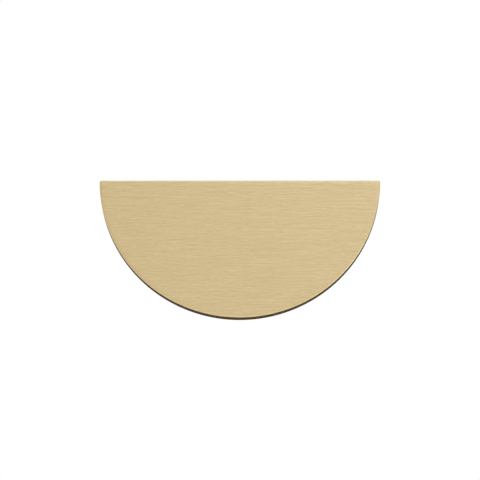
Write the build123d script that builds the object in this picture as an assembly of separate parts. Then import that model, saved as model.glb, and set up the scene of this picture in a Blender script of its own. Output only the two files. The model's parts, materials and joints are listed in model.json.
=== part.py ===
from build123d import *
from math import radians, tan
import os

# A half moon cabinet pull in solid brass: a half-round plate that two posts hold off a drawer front.
# The plate faces -Y with its straight edge on top, and the posts run back along +Y to the drawer front.
# The drawer front is the plane y = 0. The origin is on it, midway between the two screw holes.
# Lengths are in millimetres and angles in degrees.

# Plate
plate_width = 100.0  # along the straight edge, which is the arc's diameter
plate_thickness = 4.5
tip_radius = 0.6  # the corner between the straight edge and the arc
edge_radius = 0.4  # the round that eases the plate's front and back edges

# Posts
projection = 25.0  # from the drawer front to the plate's face
post_drop = 16.0  # from the straight edge down to the posts' axes
post_diameter = 10.0
post_root_fillet = 1.5
post_end_chamfer = 0.5

# Screw holes, tapped M4, with the wall at the thread's outer diameter
hole_spacing = 64.0  # between the two holes, and so between the posts
thread_diameter = 4.0
thread_depth = 12.0
drill_point_angle = 118.0
mouth_chamfer = 0.3

post_length = projection - plate_thickness
drawer_front = Plane.XZ  # its normal is -Y, from the drawer out to the plate
plate_back = drawer_front.offset(post_length)
post_places = GridLocations(hole_spacing, 0, 2, 1)


def half_moon_plate():
    """The plate, straight edge up, with rounded tips and eased front and back edges."""
    arc = CenterArc((0, post_drop), plate_width / 2, 180, 180)
    straight_edge = Line(arc @ 1, arc @ 0)
    outline = make_face(arc + straight_edge)
    outline = fillet(outline.vertices(), tip_radius)
    plate = extrude(plate_back * outline, plate_thickness)
    front_and_back = plate.faces().filter_by(Axis.Y)
    return fillet(front_and_back.edges(), edge_radius)


def with_posts(plate):
    """The plate with its two posts, filleted at their roots and chamfered at their free ends."""
    post = extrude(drawer_front * Circle(post_diameter / 2), post_length)
    pull = plate + post_places * post
    level_faces = pull.faces().filter_by(Axis.Y).group_by(Axis.Y)
    post_ends = level_faces[-1]
    pull = chamfer(post_ends.edges(), post_end_chamfer)
    level_faces = pull.faces().filter_by(Axis.Y).group_by(Axis.Y)
    back_of_plate = level_faces[1][0]
    post_roots = back_of_plate.inner_wires().edges()
    return fillet(post_roots, post_root_fillet)


def screw_hole():
    """The metal that drill, countersink and tap take out of a post, with the hole's mouth at the origin."""
    radius = thread_diameter / 2
    point_depth = radius / tan(radians(drill_point_angle / 2))
    profile = Polyline(
        (0, 0),
        (radius + mouth_chamfer, 0),
        (radius, -mouth_chamfer),
        (radius, -thread_depth),
        (0, -thread_depth - point_depth),
        close=True,
    )
    return revolve(make_face(profile), Axis.Y)


half_moon_pull = with_posts(half_moon_plate()) - post_places * screw_hole()

os.makedirs("parts", exist_ok=True)
export_step(half_moon_pull, "parts/half_moon_pull.step")
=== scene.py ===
import json
from math import cos, pi, sin

import bpy
from bpy.props import FloatProperty, FloatVectorProperty, IntProperty, PointerProperty
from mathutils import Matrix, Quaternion, Vector


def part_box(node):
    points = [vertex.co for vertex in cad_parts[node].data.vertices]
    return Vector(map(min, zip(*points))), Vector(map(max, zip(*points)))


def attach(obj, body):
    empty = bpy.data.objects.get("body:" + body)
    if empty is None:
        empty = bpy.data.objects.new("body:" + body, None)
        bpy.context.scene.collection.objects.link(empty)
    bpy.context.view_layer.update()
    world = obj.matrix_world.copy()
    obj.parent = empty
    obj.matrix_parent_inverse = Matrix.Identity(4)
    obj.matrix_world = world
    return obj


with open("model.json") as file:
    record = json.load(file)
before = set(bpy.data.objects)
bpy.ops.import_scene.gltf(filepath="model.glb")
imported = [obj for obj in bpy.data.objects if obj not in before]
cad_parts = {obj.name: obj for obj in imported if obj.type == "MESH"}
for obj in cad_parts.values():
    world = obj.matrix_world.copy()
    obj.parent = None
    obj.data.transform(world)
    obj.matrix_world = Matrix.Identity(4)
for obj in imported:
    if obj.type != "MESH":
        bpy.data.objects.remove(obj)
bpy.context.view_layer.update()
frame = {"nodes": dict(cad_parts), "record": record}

bl_info = {
    "name": "Half Moon Cabinet Pull",
    "version": (1, 0, 0),
    "blender": (4, 5, 0),
    "location": "3D View > Sidebar > Half Moon Pull",
    "description": "Brushed brass, tapped screw holes and a studio for a half moon cabinet pull",
    "category": "Object",
}

# Lengths are in metres and angles in radians, unless a comment says otherwise
MM = 0.001
DEGREE = pi / 180
QUARTER_TURN = pi / 2

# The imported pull, its screw holes and its one finish
PULL = frame["nodes"]["half_moon_pull"]
PULL_LOW, PULL_HIGH = (Vector(corner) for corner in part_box("half_moon_pull"))
PLATE_FACE = PULL_LOW.y
PLATE_TOP = PULL_HIGH.z  # the straight edge, with the middle of the arc on it
PLATE_RADIUS = PULL_HIGH.x
SCREW_HOLES = next(mount for mount in frame["record"]["mounts"] if mount["name"] == "mounting_screws")
HOLE_COUNT = SCREW_HOLES["dims"]["count"]
HOLE_SPACING = SCREW_HOLES["dims"]["spacing_x_mm"] * MM
HOLE_RADIUS = SCREW_HOLES["dims"]["hole_r_mm"] * MM

# Each layer of the brushing: its length and width, counted in hairlines, and its share of the grain
GRAIN_LAYERS = {
    "hairlines": (1.0, 1.0, 0.38),
    "nicks": (0.2, 2.0, 0.24),
    "scratches": (0.44, 4.0, 0.2),
    "streaks": (2.4, 5.5, 0.2),
    "bands": (5.6, 20.0, 0.08),
}
# A layer's noise has marks of the layer's own size, and marks half as large that are half as strong
LAYER_NOISE = {"Scale": 1.0, "Detail": 1.0, "Roughness": 0.5}
NOISE_MIDDLE = 0.5  # the noise runs from 0 to 1 and keeps close to this
LAYER_SHIFT = 7.3  # moves each layer to another stretch of the noise, so that no two look alike
GRAIN_AND_PAINTED_HIGHLIGHT_CONTRAST = 4.8  # spreads the grain and its painted highlights, which keep close to 0, over both brass colours
COLOUR_MIDDLE = 0.5  # a grain of 0 is halfway between those colours
FLAT_FROM = 0.7  # where a normal's Y is further from 0 than this, the surface is no rim or post wall
POST_END_ZONE = 1.5 * MM  # flats this close to the drawer front are the posts' ends

# The sizes of the screw threads: their names in the geometry nodes and in the settings
THREAD_SIZES = {
    "Hole Spacing": "spacing",
    "Outer Radius": "outer_radius",
    "Inner Radius": "inner_radius",
    "Pitch": "pitch",
    "Start": "start",
    "Depth": "depth",
    "Segments": "segments",
}
ROOT_SHARE = 7 / 8  # the ridge between two roots of a metric thread takes up this much of the pitch
CREST_SHARE = 1 / 4  # and this much at its crest
SUNK = 0.03 * MM  # how far the ridge's foot goes into the wall of the hole
RUN_OUT = 0.6  # turns over which the ridge rises out of the wall at each of its ends
THINNEST = 0.05  # share of the ridge's section that is left at its very ends, inside the wall

# The studio's floor and background
FLOOR_WIDTH = 5.0
FLOOR_FADE = (0.3, 1.2)  # from its middle, the floor turns into the background between these distances
SHEET_SEGMENTS = 96  # straight edges round the floor and round each card
WHITE = (1.0, 1.0, 1.0, 1.0)
WHITE_LEVEL = 1.0  # strength at which the background shows as white

# Where each softbox stands: azimuth and elevation in degrees, distance, width and height
SOFTBOXES = {
    "key_light": (22, 32, 1.3, 0.8, 0.65),
    "top_light": (8, 66, 1.2, 0.9, 0.5),
    "strip_light": (54, -23, 1.0, 0.7, 0.32),
    "back_light": (-110, 38, 1.2, 1.1, 0.7),
    "bounce_light": (10, -40, 0.5, 0.7, 0.25),
}
# The cards that metal reflects stand the same way; the last number is the share cut out of their middle
CARDS = {
    "rim_card": (180, 0, 0.36, 0.72, 0.5, 0.21),
    "under_card": (180, -70, 0.37, 0.6, 0.36, 0.0),
    "left_card": (-20, 14, 0.9, 0.22, 0.6, 0.0),
}

# The camera
SENSOR_WIDTH = 36.0  # in millimetres, as the lens is
NEAR_CLIP = 10 * MM

# The sockets of a Mix node that mixes colours
MIX_COLOUR = {"data_type": "RGBA"}
MIX_A, MIX_B, MIX_RESULT = 6, 7, 2


class Value:
    """A node's output; arithmetic on it adds Math nodes to its tree."""

    def __init__(self, tree, socket):
        self.tree = tree
        self.socket = socket

    def output(self, name):
        """Another output of the same node."""
        return Value(self.tree, self.socket.node.outputs[name])

    def maths(self, operation, *numbers):
        """What a Math node makes of the given numbers and values."""
        return self.tree.add("ShaderNodeMath", {"operation": operation}, dict(enumerate(numbers)))

    def __add__(self, other):
        return self.maths("ADD", self, other)

    def __radd__(self, other):
        return self.maths("ADD", other, self)

    def __sub__(self, other):
        return self.maths("SUBTRACT", self, other)

    def __rsub__(self, other):
        return self.maths("SUBTRACT", other, self)

    def __mul__(self, other):
        return self.maths("MULTIPLY", self, other)

    def __rmul__(self, other):
        return self.maths("MULTIPLY", other, self)

    def __truediv__(self, other):
        return self.maths("DIVIDE", self, other)

    def __rtruediv__(self, other):
        return self.maths("DIVIDE", other, self)

    def __pow__(self, other):
        return self.maths("POWER", self, other)

    def __neg__(self):
        return self.maths("MULTIPLY", self, -1.0)

    def __abs__(self):
        return self.maths("ABSOLUTE", self)

    def __gt__(self, other):
        return self.maths("GREATER_THAN", self, other)

    def at_least(self, other):
        """The larger of the two."""
        return self.maths("MAXIMUM", self, other)

    def at_most(self, other):
        """The smaller of the two."""
        return self.maths("MINIMUM", self, other)


class Tree:
    """A node tree that starts empty."""

    def __init__(self, node_tree):
        self.node_tree = node_tree
        node_tree.nodes.clear()

    def add(self, kind, settings=None, inputs=None, output=0):
        """Adds a node, makes its settings and then fills its sockets.

        Gives one of the node's outputs, if it has any.
        """
        node = self.node_tree.nodes.new(kind)
        for name, setting in (settings or {}).items():
            setattr(node, name, setting)
        for name, value in (inputs or {}).items():
            if isinstance(value, Value):
                self.node_tree.links.new(value.socket, node.inputs[name])
            else:
                node.inputs[name].default_value = value
        if node.outputs:
            return Value(self, node.outputs[output])


def empty_material(name):
    """The material of that name, made if it isn't there yet, and its tree with no nodes in it."""
    material = bpy.data.materials.get(name) or bpy.data.materials.new(name)
    material.use_nodes = True
    return material, Tree(material.node_tree)


def opaque(colour):
    """The colour with the opacity that a node's colour socket also takes."""
    return (*colour, 1.0)


class BrassFinish(bpy.types.PropertyGroup):
    """The brushed brass that the whole pull is finished in."""

    crest_colour: FloatVectorProperty(
        name="Crest colour", description="Brass between the hairlines, where it is brightest",
        default=(0.690, 0.546, 0.308), min=0.0, max=1.0, subtype="COLOR",
    )
    valley_colour: FloatVectorProperty(
        name="Hairline colour", description="Brass in the bottom of the hairlines",
        default=(0.541, 0.428, 0.240), min=0.0, max=1.0, subtype="COLOR",
    )
    grazing_colour: FloatVectorProperty(
        name="Grazing colour", description="Tint of the brass seen nearly edge on",
        default=(1.0, 0.94, 0.78), min=0.0, max=1.0, subtype="COLOR",
    )
    roughness: FloatProperty(
        name="Roughness", description="Mean roughness of the brushed surface",
        default=0.32, min=0.0, max=1.0, subtype="FACTOR",
    )
    roughness_spread: FloatProperty(
        name="Roughness spread", description="How much rougher a hairline is than the brass beside it",
        default=0.10, min=0.0, max=1.0, subtype="FACTOR",
    )
    edge_polish: FloatProperty(
        name="Edge polish", description="How much smoother the rim and the posts are than the flats",
        default=0.10, min=0.0, max=1.0, subtype="FACTOR",
    )
    grain_length: FloatProperty(
        name="Hairline length", description="Length of one hairline",
        default=6.5 * MM, min=0.1 * MM, unit="LENGTH",
    )
    grain_width: FloatProperty(
        name="Hairline width", description="Width of one hairline",
        default=0.088 * MM, min=0.01 * MM, unit="LENGTH",
    )
    grain_depth: FloatProperty(
        name="Hairline depth", description="Depth of the relief that the brushing leaves",
        default=0.01 * MM, min=0.0, unit="LENGTH",
    )
    # Painted highlight: a copy of the hairlines, moved down by the first setting and brightened by the
    # second, is painted into the brass colour for the side of each hairline that catches the light
    painted_lit_side: FloatProperty(
        name="Lit side", description="Distance from a hairline down to its side that catches the light",
        default=0.55 * MM, min=0.0, unit="LENGTH",
    )
    painted_lit_share: FloatProperty(
        name="Lit share", description="Brightness of that side, as a share of the hairline's darkness",
        default=0.25, min=0.0, max=1.0, subtype="FACTOR",
    )
    roll_width: FloatProperty(
        name="Roll width", description="Width of the plate's margin that the brushing has worn round",
        default=1.4 * MM, min=0.01 * MM, unit="LENGTH",
    )
    roll_depth: FloatProperty(
        name="Roll depth", description="How far that margin is worn down at the plate's edge",
        default=0.08 * MM, min=0.0, unit="LENGTH",
    )


class ScrewThread(bpy.types.PropertyGroup):
    """The M4 thread in each of the two screw holes."""

    spacing: FloatProperty(
        name="Hole spacing", description="Distance between the axes of the two holes",
        default=HOLE_SPACING, min=0.0, unit="LENGTH",
    )
    outer_radius: FloatProperty(
        name="Outer radius", description="Radius at the thread's roots, which is the wall of the hole",
        default=HOLE_RADIUS, min=0.0, unit="LENGTH",
    )
    inner_radius: FloatProperty(
        name="Inner radius", description="Radius at the thread's crests",
        default=1.621 * MM, min=0.0, unit="LENGTH",
    )
    pitch: FloatProperty(
        name="Pitch", description="Distance along the hole from one turn to the next",
        default=0.7 * MM, min=0.1 * MM, unit="LENGTH",
    )
    start: FloatProperty(
        name="Start", description="Distance from the mouth of the hole to the first turn",
        default=0.45 * MM, min=0.0, unit="LENGTH",
    )
    depth: FloatProperty(
        name="Depth", description="Length of hole that the turns take up",
        default=11.0 * MM, min=0.0, unit="LENGTH",
    )
    segments: IntProperty(
        name="Segments", description="Segments in one turn", default=32, min=6,
    )


class Studio(bpy.types.PropertyGroup):
    """The floor, the lights and the camera; a light level of 1 is as bright as the white background."""

    floor_colour: FloatVectorProperty(
        name="Floor colour", description="Colour of the pale floor",
        default=(0.8, 0.8, 0.8), min=0.0, max=1.0, subtype="COLOR",
    )
    floor_drop: FloatProperty(
        name="Floor drop", description="Distance from the screw holes down to the floor",
        default=0.4, min=0.0, unit="LENGTH",
    )
    key_light: FloatProperty(
        name="Key light", description="Level of the large softbox at the front, high on the right",
        default=0.8, min=0.0,
    )
    top_light: FloatProperty(
        name="Top light", description="Level of the softbox overhead",
        default=0.5, min=0.0,
    )
    strip_light: FloatProperty(
        name="Strip light", description="Level of the narrow softbox at the lower right",
        default=2.2, min=0.0,
    )
    back_light: FloatProperty(
        name="Back light", description="Level of the softbox behind on the left, for the top edge",
        default=0.4, min=0.0,
    )
    bounce_light: FloatProperty(
        name="Bounce light", description="Level of the softbox low in front, like light off a table",
        default=0.9, min=0.0,
    )
    rim_card: FloatVectorProperty(
        name="Rim card", description="Colour of the dark card that the rim reflects",
        default=(0.062, 0.053, 0.041), min=0.0, max=1.0, subtype="COLOR",
    )
    under_card: FloatVectorProperty(
        name="Under card", description="Colour of the dark card below the pull that sharpens the rim",
        default=(0.062, 0.053, 0.041), min=0.0, max=1.0, subtype="COLOR",
    )
    left_card: FloatVectorProperty(
        name="Left card", description="Colour of the card that dims the left of the plate",
        default=(0.72, 0.70, 0.44), min=0.0, max=1.0, subtype="COLOR",
    )
    camera_distance: FloatProperty(
        name="Camera distance", description="Distance from the camera to the plate",
        default=1.2, min=0.1, unit="LENGTH",
    )
    camera_azimuth: FloatProperty(
        name="Camera azimuth", description="Angle of the camera to the right of straight ahead",
        default=0.7 * DEGREE, subtype="ANGLE",
    )
    camera_elevation: FloatProperty(
        name="Camera elevation", description="Angle of the camera above the plate",
        default=-13.52 * DEGREE, subtype="ANGLE",
    )
    camera_roll: FloatProperty(
        name="Camera roll", description="Turn of the camera about its line of sight",
        default=0.174 * DEGREE, subtype="ANGLE",
    )
    lens: FloatProperty(
        name="Lens", description="Focal length of the camera, in millimetres", default=253.66, min=1.0,
    )
    aim: FloatVectorProperty(
        name="Aim", description="The point at the centre of the picture",
        default=(0.14 * MM, PLATE_FACE, -5.83 * MM), subtype="TRANSLATION", unit="LENGTH",
    )


class PullSettings(bpy.types.PropertyGroup):
    """Everything about the pull and its studio that a user may change."""

    brass: PointerProperty(type=BrassFinish)
    thread: PointerProperty(type=ScrewThread)
    studio: PointerProperty(type=Studio)


def strokes(tree, finish, x, along, across):
    """The marks of the brush, in layers: below 0 in a hairline, above 0 on a crest."""
    marks = 0.0
    for number, (length, width, share) in enumerate(GRAIN_LAYERS.values()):
        length *= finish.grain_length
        width *= finish.grain_width
        place = tree.add("ShaderNodeCombineXYZ", None, {
            "X": x / length + LAYER_SHIFT * number,
            "Y": along / length,
            "Z": across / width,
        })
        noise = {"Vector": place, **LAYER_NOISE}
        layer = tree.add("ShaderNodeTexNoise", {"noise_dimensions": "3D"}, noise, "Fac")
        marks = marks + (layer - NOISE_MIDDLE) * share
    return marks


def brushing_with_painted_highlight(tree, finish, x, y, z, facing_y):
    """The grain of the brass with a painted highlight: each stroke, and beside it a brighter copy
    painted where the stroke's side would catch the light.

    It runs along X on the plate's faces, round the rim and the posts, and in rings on the posts' ends.
    """
    flat = abs(facing_y) > FLAT_FROM
    post_end = flat * (y > -POST_END_ZONE)
    face = flat - post_end
    from_post = ((abs(x) - HOLE_SPACING / 2) ** 2 + z ** 2) ** 0.5
    across = face * z + post_end * from_post + (1 - flat) * y
    along = (1 - face) * z
    stroke = strokes(tree, finish, x, along, across)
    # painted highlight: the same marks, moved down and brightened, stand in for light caught on the
    # lower side of each hairline
    painted_lit_side = strokes(tree, finish, x, along, across + finish.painted_lit_side)
    return stroke - painted_lit_side * finish.painted_lit_share


def edge_roll(finish, x, z):
    """Height of the plate's face, which the brushing has worn down a little close to its edge."""
    from_arc = PLATE_RADIUS - (x ** 2 + (z - PLATE_TOP) ** 2) ** 0.5
    from_top = PLATE_TOP - z
    worn = (1 - from_arc.at_most(from_top) / finish.roll_width).at_least(0.0)
    return worn ** 2 * -finish.roll_depth


def brushed_brass(finish):
    """The material of the whole pull: satin brass, brushed in one direction on each of its surfaces."""
    material, tree = empty_material("hairline_brass")
    coordinates = tree.add("ShaderNodeTexCoord")
    place = tree.add("ShaderNodeSeparateXYZ", None, {"Vector": coordinates.output("Object")})
    facing = tree.add("ShaderNodeSeparateXYZ", None, {"Vector": coordinates.output("Normal")})
    x, y, z = (place.output(axis) for axis in "XYZ")
    facing_y = facing.output("Y")
    grain_and_painted_highlight = brushing_with_painted_highlight(tree, finish, x, y, z, facing_y)
    turned = 1 - abs(facing_y)
    # The brass colour carries the grain and also the painted highlight beside each hairline
    colour = tree.add("ShaderNodeMix", MIX_COLOUR, {
        "Factor": grain_and_painted_highlight * GRAIN_AND_PAINTED_HIGHLIGHT_CONTRAST + COLOUR_MIDDLE,
        MIX_A: opaque(finish.valley_colour),
        MIX_B: opaque(finish.crest_colour),
    }, MIX_RESULT)
    # With strength and distance at 1, the relief's height is in metres
    relief = tree.add("ShaderNodeBump", None, {
        "Strength": 1.0,
        "Distance": 1.0,
        "Height": grain_and_painted_highlight * finish.grain_depth + edge_roll(finish, x, z),
    })
    surface = tree.add("ShaderNodeBsdfPrincipled", None, {
        "Base Color": colour,
        "Metallic": 1.0,
        "Roughness": finish.roughness - grain_and_painted_highlight * finish.roughness_spread - turned * finish.edge_polish,
        "Normal": relief,
        "Specular Tint": opaque(finish.grazing_colour),
    })
    tree.add("ShaderNodeOutputMaterial", None, {"Surface": surface})
    return material


class OBJECT_OT_brush_half_moon_pull(bpy.types.Operator):
    """Gives the pull its brushed brass finish"""

    bl_idname = "object.brush_half_moon_pull"
    bl_label = "Brush the Pull"
    bl_options = {"REGISTER", "UNDO"}

    def execute(self, context):
        brass = brushed_brass(context.scene.half_moon_pull.brass)
        PULL.data.materials.clear()
        PULL.data.materials.append(brass)
        return {"FINISHED"}


def screw_thread_nodes(material):
    """Geometry nodes that wind a ridge down each of the two screw holes, from the mouth inwards."""
    group = bpy.data.node_groups.new("screw_threads", "GeometryNodeTree")
    sockets = group.interface
    for name in THREAD_SIZES:
        kind = "NodeSocketInt" if name == "Segments" else "NodeSocketFloat"
        sockets.new_socket(name, in_out="INPUT", socket_type=kind)
    finish = sockets.new_socket("Material", in_out="INPUT", socket_type="NodeSocketMaterial")
    finish.default_value = material
    sockets.new_socket("Geometry", in_out="OUTPUT", socket_type="NodeSocketGeometry")

    tree = Tree(group)
    sizes = tree.add("NodeGroupInput")
    spacing, outer, inner, pitch, start, depth, segments = (sizes.output(name) for name in THREAD_SIZES)
    foot = outer + SUNK
    height = foot - inner
    turns = depth / pitch
    helix = tree.add("GeometryNodeCurveSpiral", None, {
        "Resolution": segments,
        "Rotations": turns,
        "Start Radius": foot,
        "End Radius": foot,
        "Height": depth,
    })
    helix = tree.add("GeometryNodeSetCurveNormal", {"mode": "Z_UP"}, {"Curve": helix})
    ridge = tree.add("GeometryNodeCurvePrimitiveQuadrilateral", {"mode": "TRAPEZOID"}, {
        "Height": height,
        "Bottom Width": pitch * CREST_SHARE,
        "Top Width": pitch * ROOT_SHARE,
        "Offset": 0.0,
    })
    ridge = tree.add("GeometryNodeTransform", None, {
        "Geometry": ridge,
        "Translation": tree.add("ShaderNodeCombineXYZ", None, {"X": height / 2}),
        "Rotation": (0, 0, QUARTER_TURN),
    })
    turn = tree.add("GeometryNodeSplineParameter").output("Factor") * turns
    from_end = turn.at_most(turns - turn)
    thread = tree.add("GeometryNodeCurveToMesh", None, {
        "Curve": helix,
        "Profile Curve": ridge,
        "Scale": (from_end / RUN_OUT).at_most(1.0).at_least(THINNEST),
        "Fill Caps": True,
    })
    thread = tree.add("GeometryNodeTransform", None, {
        "Geometry": thread,
        "Translation": tree.add("ShaderNodeCombineXYZ", None, {"Y": -start}),
        "Rotation": (QUARTER_TURN, 0, 0),
    })
    holes = tree.add("GeometryNodeMeshLine", {"mode": "OFFSET"}, {
        "Count": HOLE_COUNT,
        "Start Location": tree.add("ShaderNodeCombineXYZ", None, {"X": -spacing / 2}),
        "Offset": tree.add("ShaderNodeCombineXYZ", None, {"X": spacing}),
    })
    threads = tree.add("GeometryNodeInstanceOnPoints", None, {"Points": holes, "Instance": thread})
    threads = tree.add("GeometryNodeRealizeInstances", None, {"Geometry": threads})
    threads = tree.add("GeometryNodeSetMaterial", None, {
        "Geometry": threads,
        "Material": sizes.output("Material"),
    })
    tree.add("NodeGroupOutput", None, {"Geometry": threads})
    return group


def mesh_from_nodes(name, group, sizes):
    """A new object whose plain mesh is what the geometry nodes make of the named sizes."""
    maker = bpy.data.objects.new(name + "_maker", bpy.data.meshes.new(name + "_maker"))
    bpy.context.scene.collection.objects.link(maker)
    modifier = maker.modifiers.new(name, "NODES")
    modifier.node_group = group
    for socket in group.interface.items_tree:
        if socket.in_out == "INPUT" and socket.name in sizes:
            modifier[socket.identifier] = sizes[socket.name]
    evaluated = maker.evaluated_get(bpy.context.evaluated_depsgraph_get())
    mesh = bpy.data.meshes.new_from_object(evaluated)
    mesh.name = name
    bpy.data.objects.remove(maker)
    piece = bpy.data.objects.new(name, mesh)
    bpy.context.scene.collection.objects.link(piece)
    return piece


class MESH_OT_cut_screw_threads(bpy.types.Operator):
    """Cuts the M4 threads in the pull's two screw holes"""

    bl_idname = "mesh.cut_screw_threads"
    bl_label = "Cut the Screw Threads"
    bl_options = {"REGISTER", "UNDO"}

    def execute(self, context):
        settings = context.scene.half_moon_pull
        brass = brushed_brass(settings.brass)
        sizes = {name: getattr(settings.thread, key) for name, key in THREAD_SIZES.items()}
        sizes["Material"] = brass
        threads = mesh_from_nodes("screw_threads", screw_thread_nodes(brass), sizes)
        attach(threads, "root")
        return {"FINISHED"}


def direction(azimuth, elevation):
    """Unit vector from the pull, with azimuth to the right of straight ahead and elevation up."""
    return Vector((
        sin(azimuth) * cos(elevation),
        -cos(azimuth) * cos(elevation),
        sin(elevation),
    ))


def seen_directly(tree):
    """1 for the rays that show the background itself, in the picture, metal or glass; 0 for others."""
    path = tree.add("ShaderNodeLightPath")
    in_picture = path.output("Is Camera Ray")
    in_metal = path.output("Is Glossy Ray")
    in_glass = path.output("Is Transmission Ray")
    return (in_picture + in_metal + in_glass).at_most(1.0)


def oval(width, depth):
    """Points round an oval about the origin."""
    angles = [2 * pi * step / SHEET_SEGMENTS for step in range(SHEET_SEGMENTS)]
    return [(width / 2 * cos(angle), depth / 2 * sin(angle), 0.0) for angle in angles]


def round_sheet(name, width, depth, material, hole=0.0):
    """A flat round or oval sheet of the stage, which faces up.

    The hole is the share of its width and depth that is cut out of its middle.
    """
    points = oval(width, depth)
    faces = [tuple(range(SHEET_SEGMENTS))]
    if hole:
        points += oval(width * hole, depth * hole)
        faces = []
        for here in range(SHEET_SEGMENTS):
            following = (here + 1) % SHEET_SEGMENTS
            faces.append((here, following, SHEET_SEGMENTS + following, SHEET_SEGMENTS + here))
    mesh = bpy.data.meshes.new(name)
    mesh.from_pydata(points, [], faces)
    mesh.materials.append(material)
    sheet = bpy.data.objects.new(name, mesh)
    bpy.context.scene.collection.objects.link(sheet)
    return sheet


def lay_floor(studio):
    """A round pale floor that fades into the white background and keeps the pull's shadow."""
    material, tree = empty_material("floor_paper")
    coordinates = tree.add("ShaderNodeTexCoord")
    place = tree.add("ShaderNodeSeparateXYZ", None, {"Vector": coordinates.output("Object")})
    away = (place.output("X") ** 2 + place.output("Y") ** 2) ** 0.5
    fade = tree.add("ShaderNodeMapRange", {"interpolation_type": "SMOOTHSTEP"}, {
        "Value": away,
        "From Min": FLOOR_FADE[0],
        "From Max": FLOOR_FADE[1],
    })
    paper = tree.add("ShaderNodeBsdfDiffuse", None, {"Color": opaque(studio.floor_colour)})
    white = tree.add("ShaderNodeEmission", None, {"Color": WHITE, "Strength": WHITE_LEVEL})
    surface = tree.add("ShaderNodeMixShader", None, {
        0: fade * seen_directly(tree),
        1: paper,
        2: white,
    })
    tree.add("ShaderNodeOutputMaterial", None, {"Surface": surface})
    floor = round_sheet("floor", FLOOR_WIDTH, FLOOR_WIDTH, material)
    floor.location.z = -studio.floor_drop


def light_room():
    """White light from all round, which is also the white background."""
    world = bpy.data.worlds.new("white_room")
    world.use_nodes = True
    tree = Tree(world.node_tree)
    white = tree.add("ShaderNodeBackground", None, {"Color": WHITE, "Strength": WHITE_LEVEL})
    tree.add("ShaderNodeOutputWorld", None, {"Surface": white})
    bpy.context.scene.world = world


def stand(thing, azimuth, elevation, distance):
    """Stands a light or a card in the studio, facing the pull and out of the camera's sight."""
    toward = direction(azimuth * DEGREE, elevation * DEGREE)
    thing.location = toward * distance
    thing.rotation_mode = "QUATERNION"
    thing.rotation_quaternion = toward.to_track_quat("Z", "Y")
    thing.visible_camera = False


def soft_light(name, azimuth, elevation, distance, width, height, level):
    """A softbox, which adds its level to the white behind it."""
    lamp = bpy.data.lights.new(name, "AREA")
    lamp.shape = "RECTANGLE"
    lamp.size = width
    lamp.size_y = height
    lamp.energy = level * pi * width * height
    light = bpy.data.objects.new(name, lamp)
    bpy.context.scene.collection.objects.link(light)
    stand(light, azimuth, elevation, distance)


def studio_card(name, azimuth, elevation, distance, width, height, hole, colour):
    """A plain oval card that only shows in the metal's reflections and casts no shadow."""
    material, tree = empty_material(name)
    surface = tree.add("ShaderNodeBsdfDiffuse", None, {"Color": opaque(colour)})
    tree.add("ShaderNodeOutputMaterial", None, {"Surface": surface})
    card = round_sheet(name, width, height, material, hole)
    stand(card, azimuth, elevation, distance)
    card.visible_diffuse = False
    card.visible_shadow = False


def set_camera(studio):
    """The camera, in front of the plate and a little below it."""
    settings = bpy.data.cameras.new("camera")
    settings.sensor_width = SENSOR_WIDTH
    settings.lens = studio.lens
    settings.clip_start = NEAR_CLIP
    camera = bpy.data.objects.new("camera", settings)
    toward = direction(studio.camera_azimuth, studio.camera_elevation)
    camera.location = Vector(studio.aim) + toward * studio.camera_distance
    camera.rotation_mode = "QUATERNION"
    roll = Quaternion((0.0, 0.0, 1.0), studio.camera_roll)
    camera.rotation_quaternion = toward.to_track_quat("Z", "Y") @ roll
    bpy.context.scene.collection.objects.link(camera)
    bpy.context.scene.camera = camera


class SCENE_OT_stage_half_moon_pull(bpy.types.Operator):
    """Sets up the floor, the lights and the camera around the pull"""

    bl_idname = "scene.stage_half_moon_pull"
    bl_label = "Set Up the Studio"
    bl_options = {"REGISTER", "UNDO"}

    def execute(self, context):
        studio = context.scene.half_moon_pull.studio
        lay_floor(studio)
        light_room()
        for name, place_and_size in SOFTBOXES.items():
            soft_light(name, *place_and_size, getattr(studio, name))
        for name, place_and_size in CARDS.items():
            studio_card(name, *place_and_size, getattr(studio, name))
        set_camera(studio)
        context.scene.view_settings.view_transform = "Standard"
        return {"FINISHED"}


class VIEW3D_PT_half_moon_pull(bpy.types.Panel):
    """Buttons and settings of the half moon pull"""

    bl_label = "Half Moon Pull"
    bl_space_type = "VIEW_3D"
    bl_region_type = "UI"
    bl_category = "Half Moon Pull"

    def draw(self, context):
        settings = context.scene.half_moon_pull
        for operator, group in (
            (OBJECT_OT_brush_half_moon_pull, settings.brass),
            (MESH_OT_cut_screw_threads, settings.thread),
            (SCENE_OT_stage_half_moon_pull, settings.studio),
        ):
            box = self.layout.box()
            box.operator(operator.bl_idname)
            for name in group.__annotations__:
                box.prop(group, name)


CLASSES = (
    BrassFinish,
    ScrewThread,
    Studio,
    PullSettings,
    OBJECT_OT_brush_half_moon_pull,
    MESH_OT_cut_screw_threads,
    SCENE_OT_stage_half_moon_pull,
    VIEW3D_PT_half_moon_pull,
)


def register():
    """Adds the classes to Blender, and the settings to its scenes."""
    for cls in CLASSES:
        bpy.utils.register_class(cls)
    bpy.types.Scene.half_moon_pull = PointerProperty(type=PullSettings)


def unregister():
    """Takes the settings and the classes out again."""
    del bpy.types.Scene.half_moon_pull
    for cls in reversed(CLASSES):
        bpy.utils.unregister_class(cls)


def main():
    """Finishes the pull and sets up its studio."""
    register()
    bpy.ops.object.brush_half_moon_pull()
    bpy.ops.mesh.cut_screw_threads()
    bpy.ops.scene.stage_half_moon_pull()


if __name__ == "__main__":
    main()
